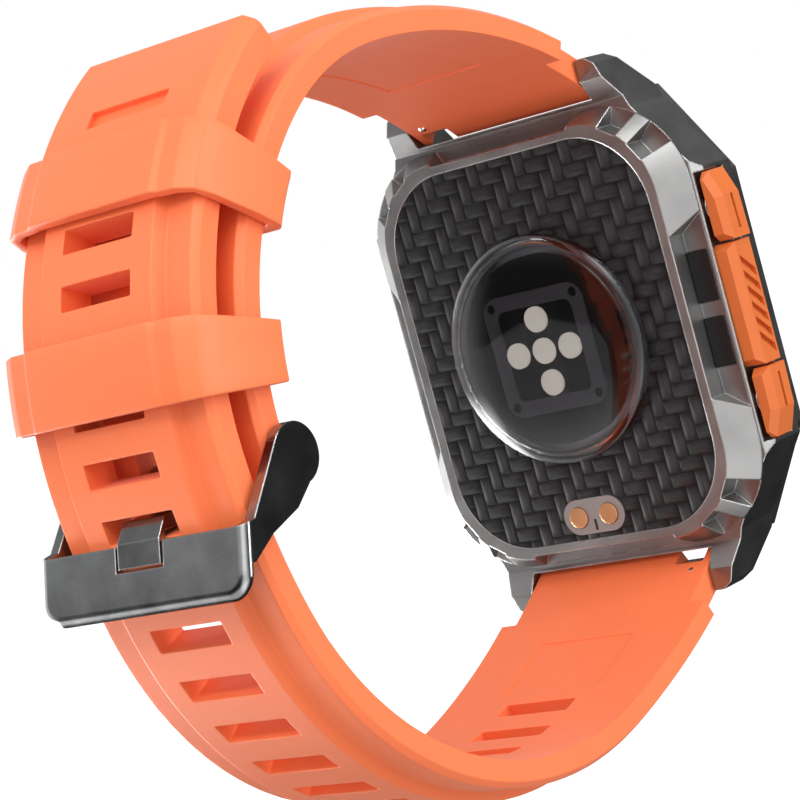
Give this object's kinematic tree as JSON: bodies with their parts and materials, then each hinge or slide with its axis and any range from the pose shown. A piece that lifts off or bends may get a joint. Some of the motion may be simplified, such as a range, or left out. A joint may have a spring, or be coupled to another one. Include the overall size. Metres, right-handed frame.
{
  "type": "gps running watch",
  "caption": "Octagonal GPS running watch with a woven carbon back, orange flank buttons and a buckled silicone strap with quick-release bars.",
  "frame": {"origin": "centre of the sensor window's flat top, where the watch rests on the wrist", "axes": "+Y points out of the back towards the wrist, +Z to 12 o'clock, and +X to 3 o'clock"},
  "size_m": [0.0461, 0.0801, 0.0796],
  "materials": {
    "case_metal": "bead blasted, satin",
    "carbon": "woven carbon composite, satin",
    "smoked_glass": "polished",
    "lens_white": "polished",
    "grey_plastic": "moulded",
    "pad_plastic": "moulded",
    "copper_contact": "plated",
    "mesh_metal": "fine woven",
    "orange_metal": "satin",
    "strap_silicone": "moulded silicone, matte",
    "buckle_metal": "dark vapour coating, satin",
    "polished_steel": "polished",
    "spring_steel": "drawn wire",
    "seal_rubber": "moulded",
    "clear_glass": "polished",
    "screen": "smooth",
    "chassis_plastic": "moulded",
    "board_green": "laminate",
    "cell_foil": "foil"
  },
  "bodies": {
    "case": {"mid_frame": "case_metal", "back_ring": "case_metal", "bezel": "case_metal", "back_plate": "carbon", "sensor_window": "smoked_glass", "sensor_lenses": "lens_white", "sensor_bracket": "grey_plastic", "sensor_carrier": "chassis_plastic", "charging_pad": "pad_plastic", "charging_contacts": "copper_contact", "speaker_mesh": "mesh_metal", "back_seal": "seal_rubber", "bezel_screws": "polished_steel", "display_glass": "clear_glass", "display_gasket": "seal_rubber", "display_panel": "screen", "chassis": "chassis_plastic", "main_board": "board_green", "battery": "cell_foil", "speaker": "chassis_plastic", "microphone": "grey_plastic", "gps_antenna": "grey_plastic", "vibration_motor": "spring_steel", "button_switches": "chassis_plastic", "button_seals": "seal_rubber", "left_guard": "orange_metal", "right_guard": "orange_metal", "upper_button_spring": "spring_steel", "lower_button_spring": "spring_steel", "short_strap": "strap_silicone", "long_strap": "strap_silicone", "buckle_pin": "buckle_metal", "upper_bar_tube": "spring_steel", "upper_bar_tip": "polished_steel", "upper_bar_spring": "spring_steel", "lower_bar_tube": "spring_steel", "lower_bar_tip": "polished_steel", "lower_bar_spring": "spring_steel"},
    "upper_button": {"upper_button": "orange_metal", "upper_button_clip": "spring_steel"},
    "lower_button": {"lower_button": "orange_metal", "lower_button_clip": "spring_steel"},
    "upper_release": {"upper_release_pin": "polished_steel"},
    "lower_release": {"lower_release_pin": "polished_steel"},
    "buckle": {"buckle_frame": "buckle_metal"},
    "tongue": {"buckle_tongue": "buckle_metal"},
    "upper_keeper": {"upper_keeper": "strap_silicone"},
    "lower_keeper": {"lower_keeper": "strap_silicone"}
  },
  "joints": [
    {"name": "upper_button_press", "type": "slide", "parent": "case", "child": "upper_button", "axis": [1, 0, 0], "range_m": [0, 0.0005], "stiffness_N_per_m": 3000, "springref_m": -0.0004, "deforming": ["upper_button_spring"]},
    {"name": "lower_button_press", "type": "slide", "parent": "case", "child": "lower_button", "axis": [1, 0, 0], "range_m": [0, 0.0005], "stiffness_N_per_m": 3000, "springref_m": -0.0004, "deforming": ["lower_button_spring"]},
    {"name": "upper_bar_release", "type": "slide", "parent": "case", "child": "upper_release", "axis": [-1, 0, 0], "range_m": [0, 0.0016], "stiffness_N_per_m": 400, "springref_m": -0.001, "deforming": ["upper_bar_spring"]},
    {"name": "lower_bar_release", "type": "slide", "parent": "case", "child": "lower_release", "axis": [1, 0, 0], "range_m": [0, 0.0016], "stiffness_N_per_m": 400, "springref_m": -0.001, "deforming": ["lower_bar_spring"]},
    {"name": "buckle_turn", "type": "hinge", "parent": "case", "child": "buckle", "pos_m": [0, 0.057, 0.0007], "axis": [1, 0, 0], "range_deg": [0, 3]},
    {"name": "tongue_turn", "type": "hinge", "parent": "case", "child": "tongue", "pos_m": [0, 0.057, 0.0007], "axis": [1, 0, 0], "range_deg": [0, 3]},
    {"name": "upper_keeper_slide", "type": "hinge", "parent": "case", "child": "upper_keeper", "pos_m": [0, 0.02201, 0.0037], "axis": [1, 0, 0], "range_deg": [-1, 7.5]},
    {"name": "lower_keeper_slide", "type": "hinge", "parent": "case", "child": "lower_keeper", "pos_m": [0, 0.02201, 0.0037], "axis": [1, 0, 0], "range_deg": [-2, 8]}
  ],
  "couplings": [
    {"joint": "tongue_turn", "follows": "buckle_turn", "ratio": 1}
  ]
}
